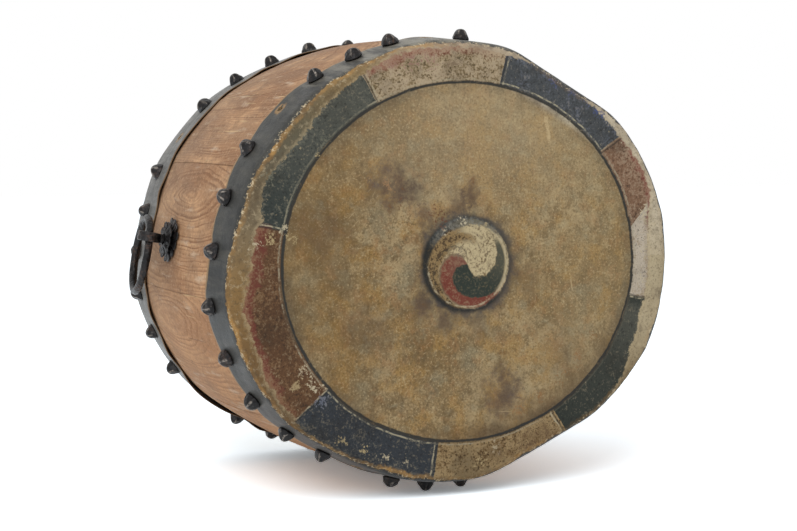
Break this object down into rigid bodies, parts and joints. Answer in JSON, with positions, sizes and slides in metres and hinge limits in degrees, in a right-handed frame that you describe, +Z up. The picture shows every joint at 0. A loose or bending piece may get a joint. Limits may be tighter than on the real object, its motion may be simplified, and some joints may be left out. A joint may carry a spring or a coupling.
{
  "type": "barrel drum",
  "caption": "Barrel drum lying on its side, with a stave shell, nailed hide heads whose dark skirts fold over the edges, a painted front head and swinging iron ring handles.",
  "frame": {"origin": "floor point under the middle of the box that holds the drum as it lies on its side", "axes": "+Y along the drum's axis from the painted front head to the rear head, +Z up, +X to the right when the front head is faced"},
  "size_m": [0.5358, 0.3076, 0.4436],
  "materials": {
    "pine": "bare planed pine, aged",
    "painted_hide": "thick hide with worn flat paint",
    "dark_hide": "thick hide with worn slate-grey paint",
    "forged_iron": "hammered black iron"
  },
  "bodies": {
    "drum": {"stave_01": "pine", "stave_02": "pine", "stave_03": "pine", "stave_04": "pine", "stave_05": "pine", "stave_06": "pine", "stave_07": "pine", "stave_08": "pine", "stave_09": "pine", "stave_10": "pine", "stave_11": "pine", "stave_12": "pine", "front_head": "painted_hide", "rear_head": "dark_hide", "front_nail_01": "forged_iron", "front_nail_02": "forged_iron", "front_nail_03": "forged_iron", "front_nail_08": "forged_iron", "front_nail_10": "forged_iron", "front_nail_11": "forged_iron", "front_nail_12": "forged_iron", "front_nail_14": "forged_iron", "front_nail_15": "forged_iron", "front_nail_16": "forged_iron", "front_nail_17": "forged_iron", "front_nail_18": "forged_iron", "front_nail_19": "forged_iron", "front_nail_20": "forged_iron", "front_nail_21": "forged_iron", "front_nail_23": "forged_iron", "front_nail_24": "forged_iron", "front_nail_25": "forged_iron", "front_nail_29": "forged_iron", "front_nail_30": "forged_iron", "front_nail_31": "forged_iron", "front_nail_32": "forged_iron", "left_lower_rosette": "forged_iron", "left_upper_rosette": "forged_iron", "left_eye_pin": "forged_iron", "right_lower_rosette": "forged_iron", "right_upper_rosette": "forged_iron", "right_eye_pin": "forged_iron"},
    "left_ring": {"left_ring": "forged_iron"},
    "right_ring": {"right_ring": "forged_iron"}
  },
  "joints": [
    {"name": "left_ring_swing", "type": "hinge", "parent": "drum", "child": "left_ring", "pos_m": [-0.25621, 0.00713, 0.24457], "axis": [0.1863, -0.0007, 0.9825], "range_deg": [0, 185]},
    {"name": "right_ring_swing", "type": "hinge", "parent": "drum", "child": "right_ring", "pos_m": [0.25655, 0.00713, 0.20471], "axis": [-0.0761, 0, -0.9971], "range_deg": [0, 185]}
  ]
}
